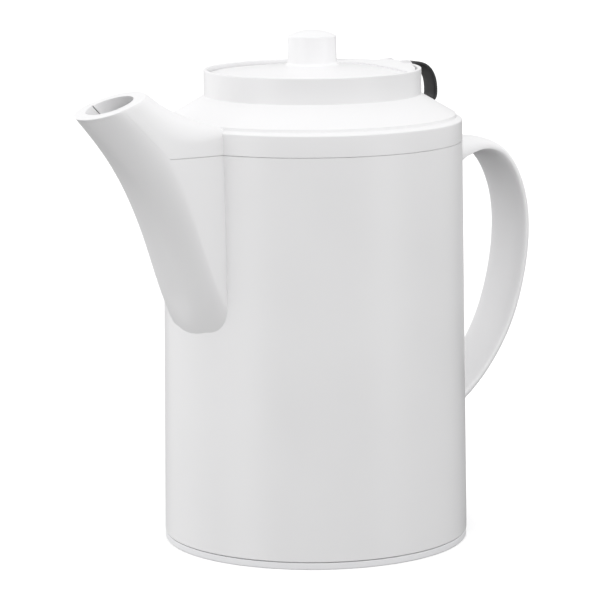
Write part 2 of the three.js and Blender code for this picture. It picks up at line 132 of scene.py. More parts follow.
# ---- curves ------------------------------------------------------------------

FILLET_STEPS = 5


def spline(knots, values, at):
    """Natural cubic spline through the values at the knots, read at the given places."""
    knots = np.asarray(knots, float)
    values = np.asarray(values, float)
    at = np.asarray(at, float)
    count = len(knots)
    step = np.diff(knots)
    slope = np.diff(values, axis=0) / (step if values.ndim == 1 else step[:, None])
    matrix = np.eye(count)
    right = np.zeros_like(values)
    for i in range(1, count - 1):
        matrix[i, i - 1:i + 2] = step[i - 1], 2 * (step[i - 1] + step[i]), step[i]
        right[i] = 6 * (slope[i] - slope[i - 1])
    bend = np.linalg.solve(matrix, right)
    i = np.clip(np.searchsorted(knots, at, side="right") - 1, 0, count - 2)
    gap = step[i]
    after = at - knots[i]
    before = knots[i + 1] - at
    if values.ndim > 1:
        gap, after, before = gap[:, None], after[:, None], before[:, None]
    return (
        (bend[i] * before ** 3 + bend[i + 1] * after ** 3) / (6 * gap)
        + (values[i] / gap - bend[i] * gap / 6) * before
        + (values[i + 1] / gap - bend[i + 1] * gap / 6) * after
    )


def along(points, count):
    """Evenly spaced points on a smooth curve through the given ones."""
    points = np.asarray(points, float)
    length = np.concatenate([[0], np.cumsum(np.linalg.norm(np.diff(points, axis=0), axis=1))])
    return spline(length, points, np.linspace(0, length[-1], count))


def tangents(points):
    """The direction of a curve at each of its points."""
    step = np.gradient(points, axis=0)
    return step / np.linalg.norm(step, axis=1)[:, None]


def fillet(corners, closed=False):
    """Straight lines with rounded corners. A corner is (x, y) when sharp, or (x, y, radius)."""
    count = len(corners)
    line = []
    for i, corner in enumerate(corners):
        here = np.array(corner[:2], float)
        radius = corner[2] if len(corner) > 2 else 0
        if radius == 0 or (not closed and i in (0, count - 1)):
            line.append(here)
            continue
        back = np.array(corners[i - 1][:2], float) - here
        ahead = np.array(corners[(i + 1) % count][:2], float) - here
        back /= np.linalg.norm(back)
        ahead /= np.linalg.norm(ahead)
        half = math.acos(np.clip(back @ ahead, -1, 1)) / 2
        reach = radius / math.tan(half)
        start, end = here + back * reach, here + ahead * reach
        centre = here + (back + ahead) / np.linalg.norm(back + ahead) * radius / math.sin(half)
        for k in range(FILLET_STEPS + 1):
            mix = start + (end - start) * k / FILLET_STEPS - centre
            line.append(centre + mix / np.linalg.norm(mix) * radius)
    return line


def squircle(angles, power):
    """How far a rounded square lies beyond the unit circle, at each angle."""
    return (np.abs(np.cos(angles)) ** power + np.abs(np.sin(angles)) ** power) ** (-1 / power)


# ---- meshes ------------------------------------------------------------------


def make(name, points, faces):
    """A mesh object from points in millimetres, its faces turned outwards."""
    mesh = bpy.data.meshes.new(name)
    mesh.from_pydata([Vector(p) * MM for p in points], [], faces)
    piece = bpy.data.objects.new(name, mesh)
    bpy.context.collection.objects.link(piece)
    work = bmesh.new()
    work.from_mesh(mesh)
    bmesh.ops.remove_doubles(work, verts=work.verts, dist=1e-7)
    bmesh.ops.recalc_face_normals(work, faces=work.faces)
    work.to_mesh(mesh)
    work.free()
    return piece


def skin(name, rings, loop=False):
    """A closed solid over rings of points. In a loop the last ring joins the first again."""
    rings = np.asarray(rings, float)
    count, around = rings.shape[:2]
    faces = []
    for i in range(count if loop else count - 1):
        low, high = i * around, (i + 1) % count * around
        for j in range(around):
            k = (j + 1) % around
            faces.append((low + j, low + k, high + k, high + j))
    if not loop:
        faces.append(tuple(range(around)))
        faces.append(tuple(range((count - 1) * around, count * around)))
    return make(name, rings.reshape(-1, 3), faces)


def turned(name, corners, segments=224):
    """A turned solid from (radius, height, corner radius) points, which start and end on the axis
    or go round a ring."""
    ring = corners[0][0] > 0
    outline = fillet(corners, closed=ring)
    angles = np.linspace(0, 2 * math.pi, segments, endpoint=False)
    rings = [
        np.stack([radius * np.cos(angles), radius * np.sin(angles), np.full(segments, height)], axis=1)
        for radius, height in outline
    ]
    return skin(name, rings, loop=ring)


def prism(name, outline, half_width):
    """A plate with an outline of (x, z) points, as wide on both sides of y = 0."""
    rings = [[(x, side * half_width, z) for x, z in outline] for side in (-1, 1)]
    return skin(name, rings)


def block(low_x, high_x, low_z, high_z):
    """The outline of an upright rectangle, for a prism."""
    return [(low_x, low_z), (high_x, low_z), (high_x, high_z), (low_x, high_z)]


def hinge_rod(name, radius, reach, edge=0):
    """A round rod along the hinge's axis, with rounded edges."""
    rod = turned(name, [(0, -reach), (radius, -reach, edge), (radius, reach, edge), (0, reach)], 48)
    lay = Matrix.Rotation(-math.pi / 2, 4, "X")
    rod.data.transform(Matrix.Translation((HINGE.x * MM, 0, HINGE.z * MM)) @ lay)
    return rod


def combine(piece, tool, operation):
    """Joins, cuts or intersects a piece with a tool, and takes the tool away."""
    modifier = piece.modifiers.new(operation, "BOOLEAN")
    modifier.operation = operation
    modifier.solver = "MANIFOLD"
    modifier.object = tool
    result = piece.evaluated_get(bpy.context.evaluated_depsgraph_get())
    mesh = bpy.data.meshes.new_from_object(result)
    piece.modifiers.clear()
    piece.data = mesh
    bpy.data.objects.remove(tool)


def cut(piece, tool):
    combine(piece, tool, "DIFFERENCE")


def join(piece, tool):
    combine(piece, tool, "UNION")


def copy(piece, name):
    """A second object with a mesh of its own."""
    double = bpy.data.objects.new(name, piece.data.copy())
    bpy.context.collection.objects.link(double)
    return double


# ---- materials ---------------------------------------------------------------


def surface(name, dark, light, roughness, mottle, grain, bump, metallic=0.0, stretch=(1, 1, 1)):
    """A procedural finish. Mottle and grain are noise scales per metre: mottle shifts the colour
    and the gloss over the surface, grain is the fine texture that the bump and gloss follow.
    Bump is its strength and its depth in millimetres."""
    material = bpy.data.materials.new(name)
    material.use_nodes = True
    nodes, links = material.node_tree.nodes, material.node_tree.links
    shader = nodes["Principled BSDF"]
    shader.inputs["Metallic"].default_value = metallic
    place = nodes.new("ShaderNodeTexCoord")
    scaled = nodes.new("ShaderNodeMapping")
    scaled.inputs["Scale"].default_value = stretch
    links.new(place.outputs["Object"], scaled.inputs["Vector"])

    def noise(scale, detail):
        node = nodes.new("ShaderNodeTexNoise")
        node.inputs["Scale"].default_value = scale
        node.inputs["Detail"].default_value = detail
        links.new(scaled.outputs["Vector"], node.inputs["Vector"])
        return node.outputs["Fac"]

    coarse = noise(mottle, 3)
    fine = noise(grain, 2)
    ramp = nodes.new("ShaderNodeValToRGB")
    ramp.color_ramp.elements[0].position = 0.3
    ramp.color_ramp.elements[0].color = (*dark, 1)
    ramp.color_ramp.elements[1].position = 0.7
    ramp.color_ramp.elements[1].color = (*light, 1)
    links.new(coarse, ramp.inputs["Fac"])
    links.new(ramp.outputs["Color"], shader.inputs["Base Color"])
    grain_share = 0.35
    both = nodes.new("ShaderNodeMath")
    both.operation = "MULTIPLY_ADD"
    both.inputs[1].default_value = grain_share
    links.new(fine, both.inputs[0])
    links.new(coarse, both.inputs[2])
    gloss = nodes.new("ShaderNodeMapRange")
    gloss.inputs["From Min"].default_value = 0.4
    gloss.inputs["From Max"].default_value = 0.95
    gloss.inputs["To Min"].default_value = roughness[0]
    gloss.inputs["To Max"].default_value = roughness[1]
    links.new(both.outputs["Value"], gloss.inputs["Value"])
    links.new(gloss.outputs["Result"], shader.inputs["Roughness"])
    relief = nodes.new("ShaderNodeBump")
    relief.inputs["Strength"].default_value = bump[0]
    relief.inputs["Distance"].default_value = bump[1] * MM
    links.new(fine, relief.inputs["Height"])
    links.new(relief.outputs["Normal"], shader.inputs["Normal"])
    return material


WHITE = surface(
    "white_plastic", (0.780, 0.777, 0.783), (0.800, 0.797, 0.803), (0.30, 0.38), 18, 1500, (0.12, 0.02),
)
LID_WHITE = surface(
    "lid_plastic", (0.785, 0.782, 0.790), (0.805, 0.802, 0.810), (0.28, 0.36), 22, 1500, (0.12, 0.02),
)
BASE_WHITE = surface(
    "base_plastic", (0.74, 0.74, 0.755), (0.77, 0.77, 0.78), (0.40, 0.52), 25, 900, (0.2, 0.03),
)
LINER = surface(
    "liner_plastic", (0.79, 0.792, 0.80), (0.82, 0.822, 0.83), (0.30, 0.45), 14, 1100, (0.12, 0.02),
)
SILICONE = surface(
    "silicone", (0.40, 0.405, 0.42), (0.46, 0.465, 0.48), (0.55, 0.70), 60, 2500, (0.25, 0.03),
)
RUBBER = surface(
    "black_rubber", (0.010, 0.010, 0.011), (0.022, 0.022, 0.024), (0.42, 0.58), 120, 3000, (0.35, 0.04),
)
STEEL = surface(
    "brushed_steel", (0.45, 0.45, 0.46), (0.62, 0.62, 0.63), (0.22, 0.38), 150, 4000, (0.2, 0.02),
    metallic=1.0, stretch=(1, 0.06, 1),
)
FOAM = surface(
    "insulating_foam", (0.72, 0.66, 0.50), (0.86, 0.81, 0.66), (0.85, 0.97), 400, 1600, (0.8, 0.4),
)


def finish_mesh(mesh, material):
    mesh.materials.clear()
    mesh.materials.append(material)


def place(piece, body, slot, material, node, angle=30):
    """Finishes a piece: its shading, with edges sharp from an angle on, its material, the body it
    rides on and the CAD node it stands for."""
    piece.data.shade_smooth()
    piece.data.set_sharp_from_angle(angle=math.radians(angle))
    finish_mesh(piece.data, material)
    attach(piece, body)
    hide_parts(node)


# ---- spout -------------------------------------------------------------------

SPOUT_STEPS = 84
END_STEPS, CORNER_STEPS, SIDE_STEPS = 8, 20, 20
BORE_STEPS = 60
BORE_FACETS = 96


def section_outline(half_length, half_width, upper, lower):
    """Half the outline of a section, from the middle of its lower end to the middle of its upper end."""
    turn = np.linspace(0, math.pi / 2, CORNER_STEPS, endpoint=False)
    end = np.linspace(0, 1, END_STEPS, endpoint=False)
    side = np.linspace(0, 1, SIDE_STEPS, endpoint=False)
    low_side = half_length - lower
    high_side = upper - half_length
    parts = [
        np.stack([np.full(END_STEPS, half_length), end * (half_width - lower)], axis=1),
        np.stack([low_side + lower * np.cos(turn), half_width - lower + lower * np.sin(turn)], axis=1),
        np.stack([low_side + side * (high_side - low_side), np.full(SIDE_STEPS, half_width)], axis=1),
        np.stack([high_side - upper * np.sin(turn), half_width - upper + upper * np.cos(turn)], axis=1),
        np.stack([np.full(END_STEPS, -half_length), (1 - end) * (half_width - upper)], axis=1),
        [[-half_length, 0]],
    ]
    return np.concatenate(parts)


def spout_ring(share, inset=0.0, rise=0.0):
    """One ring of the spout's skin at a share of the way from root to rim, taken in by inset and
    moved along by rise."""
    knots = np.linspace(0, 1, len(SPOUT_SECTIONS))
    rows = np.array([(*up, *low, width, high, deep) for up, low, width, high, deep in SPOUT_SECTIONS])
    up_out, up_z, low_out, low_z, width, upper, lower = spline(knots, rows, [share])[0]
    top = np.array([-up_out, 0, up_z])
    low = np.array([-low_out, 0, low_z])
    down = (low - top) / np.linalg.norm(low - top)
    ahead = np.array([down[2], 0, -down[0]])
    half_length = np.linalg.norm(low - top) / 2 - inset
    half = section_outline(half_length, width - inset, max(upper - inset, 1.5), lower - inset)
    outline = np.concatenate([half, (half * [1, -1])[-2:0:-1]])
    draft = 1 + SPOUT_DRAFT * (1 - share) * outline[:, 0] / half_length
    fade = np.clip((SAG_END - share) / SAG_FADE, 0, 1)
    bulge = np.clip(1 - (outline[:, 1] / SAG_HALF_WIDTH) ** 2, 0, 1) ** 1.5 * (outline[:, 0] > 0)
    outline[:, 0] += SPOUT_SAG * fade ** 2 * (3 - 2 * fade) * bulge
    middle = (top + low) / 2 + ahead * rise
    return middle + outline[:, :1] * down + (outline[:, 1] * draft)[:, None] * [0, 1, 0]


def spout_solid(name, inset):
    """The spout filled in from root to rim, taken in by inset."""
    return skin(name, [spout_ring(share, inset) for share in np.linspace(0, 1, SPOUT_STEPS)])


def bore_rings(radius):
    """Rings of the round channel from the vessel up to the mouth and beyond it."""
    middle = along([(-out, z) for out, z in CHANNEL], BORE_STEPS)
    forward = tangents(middle)
    angles = np.linspace(0, 2 * math.pi, BORE_FACETS, endpoint=False)
    rings = []
    for (x, z), (fx, fz) in zip(middle, forward):
        side = radius * np.cos(angles)
        rings.append(np.stack([x - fz * side, radius * np.sin(angles), z + fx * side], axis=1))
    return rings


def bore(name, radius):
    return skin(name, bore_rings(radius))


def above_rim(name, depth):
    """Everything above the slanted plane of the rim, taken down by a depth."""
    (back_out, back_z), (lip_out, lip_z) = SPOUT_SECTIONS[-1][:2]
    slope = (back_z - lip_z) / (lip_out - back_out)
    reach = 14
    high, half_width = 250, 30
    return prism(name, [
        (-lip_out - reach, lip_z - reach * slope - depth),
        (-back_out + reach, back_z + reach * slope - depth),
        (-back_out + reach, high), (-lip_out - reach, high),
    ], half_width)


# ---- casing ------------------------------------------------------------------

FAR_X, FAR_Y = 90, 90               # tools reach this far, clear of the body
SPLIT = 0.02                        # half the hairline between the two casings
SPOUT_ROOT = 1.2                    # how deep the spout reaches into the body's wall
INNER_SEAM_WIDTH = 0.4
INNER_SEAM_DEPTH = 1.2
BORE_STEP = 0.45                    # the lower casing's half of the bore is wider by this much
CASING_SHARP = 19                   # degrees: its shallow edges have to stay crisp
EAR_ROOM = 4.2                      # width of the neck's opening on each side of the strap


def body_outline(inset):
    """The pot's outside, taken in by inset, from its open foot to the top of the neck."""
    return [
        (BASE_RADIUS - inset, BASE_TOP + inset * 0.2),
        (SEAM_RADIUS - inset, SEAM_Z),
        (BAND_RADIUS - inset, BAND_TOP - LEDGE_DIP - inset, 0.9),
        (LEDGE_RADIUS - inset, BAND_TOP + LEDGE_RISE - inset, 0.12),
        (SHOULDER_RADIUS - inset * 0.8, SHOULDER_LOW - inset, 0.25),
        (NECK_RADIUS - inset * 0.8, NECK_LOW - inset, 0.5),
        (NECK_RADIUS - inset, NECK_TOP - inset, RIM_ROUND),
    ]


def body_shell(name):
    """The wall of the body and the neck, open above and below."""
    wall = CASING_WALL
    outside = body_outline(0)
    outside[0] = (*outside[0], 0.35)
    inside = [
        (NECK_RADIUS - NECK_WALL, NECK_TOP, RIM_ROUND), (NECK_RADIUS - NECK_WALL, NECK_LOW - 1.4, 0.5),
        (BAND_RADIUS - wall, BAND_TOP - wall, 1), (SEAM_RADIUS - wall, SEAM_Z),
        (BASE_RADIUS - wall, BASE_TOP, 0.3),
    ]
    return turned(name, outside + inside)


def body_solid(name, inset):
    """The body filled in, taken in by inset."""
    outline = body_outline(inset)
    return turned(name, [(0, outline[0][1]), *outline, (0, outline[-1][1])])


def level_strip(name, half):
    """A thin plate at the level part of the seam."""
    turn_x, turn_z = SEAM_TURN
    return prism(name, block(turn_x, FAR_X, turn_z - half, turn_z + half), FAR_Y)


def climbing_strip(name, half):
    """A thin plate where the seam climbs the spout to its rim, and beyond it."""
    corner, rim = np.array(SEAM_TURN), np.array(SEAM_RIM)
    climb = (rim - corner) / np.linalg.norm(rim - corner)
    far = rim + climb * 20
    side = np.array([-climb[1], climb[0]]) * half
    return prism(name, [corner + side, far + side, far - side, corner - side], FAR_Y)


def above_seam(name, lift):
    """Everything above the seam between the lower and the upper casing, moved up by a lift."""
    (turn_x, turn_z), (rim_x, rim_z) = SEAM_TURN, SEAM_RIM
    slope = (rim_z - turn_z) / (rim_x - turn_x)
    far = rim_x - 12
    high = 260
    return prism(name, [
        (FAR_X, turn_z + lift), (FAR_X, high), (far, high),
        (far, rim_z + slope * (far - rim_x) + lift), (turn_x, turn_z + lift),
    ], FAR_Y)


def spout_shell(name):
    """The spout's wall, with a solid collar and a rounded lip round the mouth."""
    rings = [spout_ring(share) for share in np.linspace(0, 1, SPOUT_STEPS)[:-1]]
    solid = skin(name, rings + lip_rings())
    hollow = spout_solid("hollow", CASING_WALL)
    cut(hollow, above_rim("collar", LIP_DEPTH))
    cut(solid, hollow)
    return solid


def lip_rings():
    """The last rings of the spout, which round off its lip."""
    rings = []
    for turn in np.linspace(0, math.pi / 2, 6):
        rings.append(spout_ring(1, LIP_ROUND * (1 - math.cos(turn)), LIP_ROUND * (math.sin(turn) - 1)))
    return rings


def casing():
    """Body, neck and spout in one, with the channel to the mouth open."""
    shell = body_shell("casing")
    cut(shell, spout_solid("passage", CASING_WALL))
    spout = spout_shell("spout")
    cut(spout, body_solid("inside", SPOUT_ROOT))
    join(shell, spout)
    cut(shell, bore("bore", BORE_RADIUS))
    return shell


def grooves(shell):
    """The level seam outside, and the seam that shows inside the spout's mouth."""
    core = body_solid("core", SEAM_DEPTH)
    join(core, spout_solid("core_spout", SEAM_DEPTH))
    level = level_strip("level_groove", SEAM_WIDTH / 2)
    cut(level, core)
    cut(shell, level)
    inner = climbing_strip("inner_groove", INNER_SEAM_WIDTH / 2)
    combine(inner, bore("reach", BORE_RADIUS + INNER_SEAM_DEPTH), "INTERSECT")
    cut(shell, inner)


def neck_notch(name):
    """The opening in the back of the neck for the hinge and the strap."""
    low, high = HINGE.z - NOTCH_DEPTH, HINGE.z + 8
    return prism(name, block(40, 58, low, high), STRAP_HALF_WIDTH + EAR_ROOM)


shell = casing()
grooves(shell)
cut(shell, neck_notch("notch"))
lower = copy(shell, "lower_casing_shell")
cut(lower, above_seam("split", -SPLIT))
upper = copy(shell, "upper_casing_shell")
combine(upper, above_seam("split", SPLIT), "INTERSECT")
bpy.data.objects.remove(shell)
cut(lower, bore("wide_bore", BORE_RADIUS + BORE_STEP))
place(lower, "pot", "casing", WHITE, "lower_casing", CASING_SHARP)
place(upper, "pot", "casing", WHITE, "upper_casing", CASING_SHARP)

# ---- base --------------------------------------------------------------------


def base_ring():
    """A shallow cup: a floor, the visible rim below the casing, and a collar inside the casing."""
    high = cad("base_cover")[1]
    collar = high.x - 2.6
    inside = collar - 1.8
    shelf = BASE_TOP - 0.35
    floor = 2.4
    return turned("base_cover_ring", [
        (0, 0), (high.x - 0.4, 0, 0.2), (high.x, 0.4, 0.2), (high.x, shelf, 0.2), (collar, shelf, 0.2),
        (collar, high.z, 0.4), (inside, high.z, 0.4), (inside, floor, 0.6), (0, floor),
    ])


place(base_ring(), "pot", "base", BASE_WHITE, "base_cover")

# ---- handle ------------------------------------------------------------------

BAND_STEPS = 150
BAND_OUTER, BAND_INNER = 3.6, 2.8   # thickness outside and inside the band's middle line
ROOT_LENGTH = 0.135                 # share of the band that each root's flare takes up
UPPER_FLARE, LOWER_FLARE = 48, 14
OUTER_FLARE = 1.8
EDGE_DROP, ROOT_DROP = 0.3, 5.2     # how far in the widest line lies: all along, and more at the upper root
DROP_END, DROP_FADE = 0.1, 0.14     # share of the band with the full drop, and over which it fades
HANDLE_GAP = 0.1                    # between the roots and the casing


def handle_band():
    """A band with a crowned outside and a flatter inside. Near its upper root the widest line drops
    towards the inside, so that the top there is a broad arch; both roots flare out inwards."""
    path = along(HANDLE_PATH, BAND_STEPS)
    forward = tangents(path)
    half_width = cad("handle")[1].y
    angles = np.linspace(0, 2 * math.pi, 72, endpoint=False)
    out, across = np.cos(angles), np.sin(angles)
    rings = []
    for i, ((x, z), (fx, fz)) in enumerate(zip(path, forward)):
        share = i / (BAND_STEPS - 1)
        to_root = max(0, 1 - min(share, 1 - share) / ROOT_LENGTH) ** 1.6
        at_upper_root = min(1, max(0, 1 - (share - DROP_END) / DROP_FADE)) ** 1.9
        edge = EDGE_DROP + ROOT_DROP * at_upper_root
        outer = BAND_OUTER + OUTER_FLARE * to_root
        flare = UPPER_FLARE if share < 0.5 else LOWER_FLARE
        inner = max(BAND_INNER + flare * to_root, edge + 0.8)
        scale = squircle(angles, 2.5 + 1.2 * to_root)
        offset = np.where(out > 0, outer + edge, inner - edge) * out * scale - edge
        rings.append(np.stack([x - fz * offset, half_width * across * scale, z + fx * offset], axis=1))
    band = skin("handle_band", rings)
    foot, seam = BASE_RADIUS + HANDLE_GAP, SEAM_RADIUS + HANDLE_GAP
    cut(band, turned("pot_outside", [(0, 0), (foot, 0), (seam, SEAM_Z), (seam, 200), (0, 200)]))
    return band


def handle_screw(node):
    """A pan-head screw laid along X, with its head inside the wall."""
    low, high = cad(node)
    end = high.x - low.x
    head, head_radius, recess_radius = 2.2, 3.5, 1.2
    shank, thread, pitch, tip = 1.75, 0.35, 0.8, 1.2
    corners = [
        (0, 0.4), (recess_radius, 0.4), (recess_radius, 0, 0.1),
        (head_radius, 0, 0.9), (head_radius, head, 0.2), (shank, head),
    ]
    for turn in range(1, int((end - head - 2 * pitch) / pitch)):
        corners += [(shank, head + turn * pitch), (shank - thread, head + (turn + 0.5) * pitch)]
    corners += [(shank, end - tip), (0, end)]
    screw = turned(node + "_turned", corners, 48)
    middle = Vector((low.x, 0, (low.z + high.z) / 2))
    screw.data.transform(Matrix.Translation(middle * MM) @ Matrix.Rotation(math.pi / 2, 4, "Y"))
    return screw


place(handle_band(), "pot", "casing", WHITE, "handle")
for node in ("handle_screw_upper", "handle_screw_lower"):
    place(handle_screw(node), "pot", "screw", STEEL, node)

# ---- lid ---------------------------------------------------------------------

LID_RADIUS = 47.4
LID_EDGE_TOP = 216.3
LID_FOOT_RADIUS = 13.0
LID_FOOT_TOP = 219.9
RIDGE_X = 29.5          # straight step up, behind which the lid runs back level to the hinge
RIDGE_HEIGHT = 0.8
EAR_RADIUS = 3.2
EAR_WIDTH = 3.0
EAR_ROOT = 38.5         # the ears start to rise from the lid here
EYE_RADIUS = 1.9        # rolled end of the strap, round the pin
STRAP_PLAY = 0.4
HOOD_END = 46.9         # the hood between the ears covers the strap's eye up to here
LID_BACK = HINGE.x - 3.8
GASKET_WIDTH = 2.6
KNOB_FOOT = 1.0         # how much wider the knob's foot is than its sides


def lid_height(radius):
    """Height of the lid's low cone at a distance from its middle."""
    share = (LID_RADIUS - radius) / (LID_RADIUS - LID_FOOT_RADIUS)
    return LID_EDGE_TOP + (LID_FOOT_TOP - LID_EDGE_TOP) * share


def lid_step():
    """The raised back of the lid. It keeps the height that the cone has along the ridge."""
    across = np.linspace(-LID_RADIUS, LID_RADIUS, 241)
    ridge = [lid_height(min(math.hypot(RIDGE_X, y), LID_RADIUS)) for y in across]
    bottom = [(y, LID_EDGE_Z + 0.5) for y in across[::-1]]
    rows = []
    for x, rise in (
        (RIDGE_X, -0.3), (RIDGE_X + 0.08, RIDGE_HEIGHT - 0.15), (RIDGE_X + 0.45, RIDGE_HEIGHT),
        (HINGE.x + 6, RIDGE_HEIGHT),
    ):
        top = [(y, z + rise) for y, z in zip(across, ridge)]
        rows.append([(x, y, z) for y, z in top + bottom])
    step = skin("lid_step", rows)
    low, reach = LID_EDGE_Z + 0.2, LID_RADIUS - 0.4
    combine(step, turned("lid_reach", [(0, low), (reach, low), (reach, 230), (0, 230)]), "INTERSECT")
    return step


def lid_disc():
    """The low cone with its raised back, cut off straight before the hinge."""
    disc = turned("lid_disc", [
        (0, LID_EDGE_Z), (LID_RADIUS, LID_EDGE_Z, 0.3), (LID_RADIUS, LID_EDGE_TOP, 0.5),
        (LID_FOOT_RADIUS, LID_FOOT_TOP), (0, LID_FOOT_TOP + 0.2),
    ])
    join(disc, lid_step())
    cut(disc, prism("lid_back_cut", block(LID_BACK, 70, 200, 230), 30))
    return disc


def hinge_block():
    """The two ears and the hood between them, before the slot is cut: a ramp with a round end."""
    ramp = lid_height(EAR_ROOT)
    outline = [
        (EAR_ROOT, LID_EDGE_Z + 0.3), (EAR_ROOT, ramp), (EAR_ROOT + 1.5, ramp + 0.25),
        (HINGE.x - EAR_RADIUS, HINGE.z + EAR_RADIUS - 0.25),
    ]
    for turn in np.linspace(math.radians(97), math.radians(-105), 44):
        outline.append((HINGE.x + EAR_RADIUS * math.cos(turn), HINGE.z + EAR_RADIUS * math.sin(turn)))
    return prism("hinge_block", outline, STRAP_HALF_WIDTH + STRAP_PLAY + EAR_WIDTH)


def lid_cover():
    """The disc and the hinge block, with room for the strap, its rolled end and the pin."""
    lid = lid_disc()
    join(lid, hinge_block())
    slot = STRAP_HALF_WIDTH + STRAP_PLAY
    cut(lid, prism("strap_slot", block(HOOD_END, HINGE.x + 10, HINGE.z - 12, HINGE.z + 12), slot))
    cut(lid, hinge_rod("eye_room", EYE_RADIUS + STRAP_PLAY, slot))
    cut(lid, hinge_rod("pin_hole", 1.15, 15))
    return lid


def knob():
    """A straight-sided knob with a foot and a domed top."""
    low, high = KNOB_LOW.z, KNOB_HIGH.z
    radius = KNOB_HIGH.x - KNOB_FOOT
    rise = 2.7
    sphere = (radius ** 2 + rise ** 2) / (2 * rise)
    dome = [
        (share * radius, high - sphere + math.sqrt(sphere ** 2 - (share * radius) ** 2))
        for share in (0.85, 0.7, 0.55, 0.4, 0.25, 0.1, 0)
    ]
    return turned("lid_knob_turned", [
        (0, low - 0.6), (radius + 1.6, low - 0.6), (radius + 0.9, low + 0.05, 0.3),
        (radius + 0.1, low + 0.9, 0.9), (radius - 0.05, high - rise, 0.8), *dome,
    ], 160)


def plug():
    """A solid plug with a groove round it for the sealing ring."""
    low, high, radius = PLUG_LOW.z, PLUG_HIGH.z, PLUG_HIGH.x
    groove = radius - 2.4
    return turned("lid_plug_turned", [
        (0, low), (radius - 1.8, low, 0.8), (radius - 0.8, low + 2, 1.5), (radius - 0.4, low + 4, 0.3),
        (groove, low + 4.2, 0.3), (groove, low + 7, 0.3), (radius, low + 7.2, 0.3),
        (radius, high), (0, high),
    ])


def lid_ring():
    """The sealing ring in the plug's groove, with a rounded edge."""
    low, high = cad("lid_gasket")
    outer = high.x
    inner = outer - GASKET_WIDTH
    return turned("lid_gasket_ring", [
        (inner, low.z, 0.2), (outer - 0.2, low.z, 0.4), (outer, low.z + 1.1, 0.4),
        (outer - 0.2, high.z, 0.4), (inner, high.z, 0.2),
    ])


place(lid_cover(), "lid", "lid", LID_WHITE, "lid_cover")
place(knob(), "lid", "lid", LID_WHITE, "lid_knob", 50)
place(plug(), "lid", "vessel", LINER, "lid_plug")
place(lid_ring(), "lid", "seal", SILICONE, "lid_gasket")

# ---- inside ------------------------------------------------------------------

LINER_OUTER, LINER_INNER = 11.4, 9.9
LINER_GAP = 0.2                     # round the liner, where it passes the vessel's wall
VESSEL_REACH = 58.6                 # the liner starts at this distance from the axis


def vessel():
    """A straight-sided vessel with a rounded foot, a sloping shoulder and a flanged mouth."""
    outer = VESSEL_HIGH.x
    low, high = VESSEL_LOW.z, VESSEL_HIGH.z
    wall, mouth, flange, shoulder = 1.8, 43.5, 48, 188
    neck = mouth + wall
    inner = outer - wall
    piece = turned("inner_vessel_turned", [
        (0, low), (outer - 4, low, 4), (outer, low + 8, 4), (outer, shoulder, 3), (neck, shoulder + 12, 3),
        (neck, high - 3, 0.4), (flange, high - 3, 0.3), (flange, high, 0.5),
        (mouth, high, 0.6), (mouth, shoulder + 11, 3), (inner, shoulder - 1, 3), (inner, low + 9, 4),
        (outer - 5, low + wall, 4), (0, low + wall),
    ])
    cut(piece, bore("vessel_port", LINER_OUTER + LINER_GAP))
    return piece


def liner():
    """The channel's own tube, from the vessel's wall to the collar of the spout."""
    tube = skin("spout_liner_tube", bore_rings(LINER_OUTER) + bore_rings(LINER_INNER)[::-1], loop=True)
    cut(tube, above_rim("liner_end", LIP_DEPTH + 0.4))
    cut(tube, turned("vessel_inside", [(0, 20), (VESSEL_REACH, 20), (VESSEL_REACH, 186), (0, 186)]))
    return tube


def neck_ring():
    """The ring between the vessel's mouth and the casing."""
    low, high = cad("neck_gasket")
    inner = high.x - GASKET_WIDTH
    return turned("neck_gasket_ring", [
        (inner, low.z, 0.3), (high.x, low.z, 0.3), (high.x, high.z, 0.3), (inner, high.z, 0.3),
    ])


place(vessel(), "pot", "vessel", LINER, "inner_vessel")
place(liner(), "pot", "vessel", LINER, "spout_liner")
place(neck_ring(), "pot", "seal", SILICONE, "neck_gasket")
for node in ("insulation_sleeve", "insulation_disc"):
    finish_mesh(frame["nodes"][node].data, FOAM)

# ---- tether ------------------------------------------------------------------

# Middle line of the strap, from its eye over the neck's edge down to its foot on the shoulder.
STRAP_PATH = (
    (HINGE.x + 1.6, HINGE.z), (55, 217.2), (60.8, 216.9), (65.5, 214.2), (68.3, 209.5), (69.1, 204),
    (68.2, 200.2), (65.6, 199), (62, 201.1), (57, 204),
)
STRAP_HALF_THICKNESS = 0.8
BUTTON = Vector((59.2, 0, 201.2))   # where the button stands on the shoulder


def strap():
    """A flat band with rounded edges, which ends in an eye round the hinge pin."""
    path = along(STRAP_PATH, 110)
    forward = tangents(path)
    angles = np.linspace(0, 2 * math.pi, 40, endpoint=False)
    scale = squircle(angles, 6)
    side = STRAP_HALF_WIDTH * np.cos(angles) * scale
    offset = STRAP_HALF_THICKNESS * np.sin(angles) * scale
    rings = []
    for (x, z), (fx, fz) in zip(path, forward):
        rings.append(np.stack([x - fz * offset, side, z + fx * offset], axis=1))
    band = skin("tether_strap_band", rings)
    join(band, hinge_rod("eye", EYE_RADIUS, STRAP_HALF_WIDTH, 0.3))
    cut(band, hinge_rod("eye_hole", 1.2, 15))
    return band


def pin():
    """The hinge pin, as long and as thick as its CAD node."""
    return hinge_rod("tether_pin_rod", PIN_HIGH.z - HINGE.z, PIN_HIGH.y, 0.25)


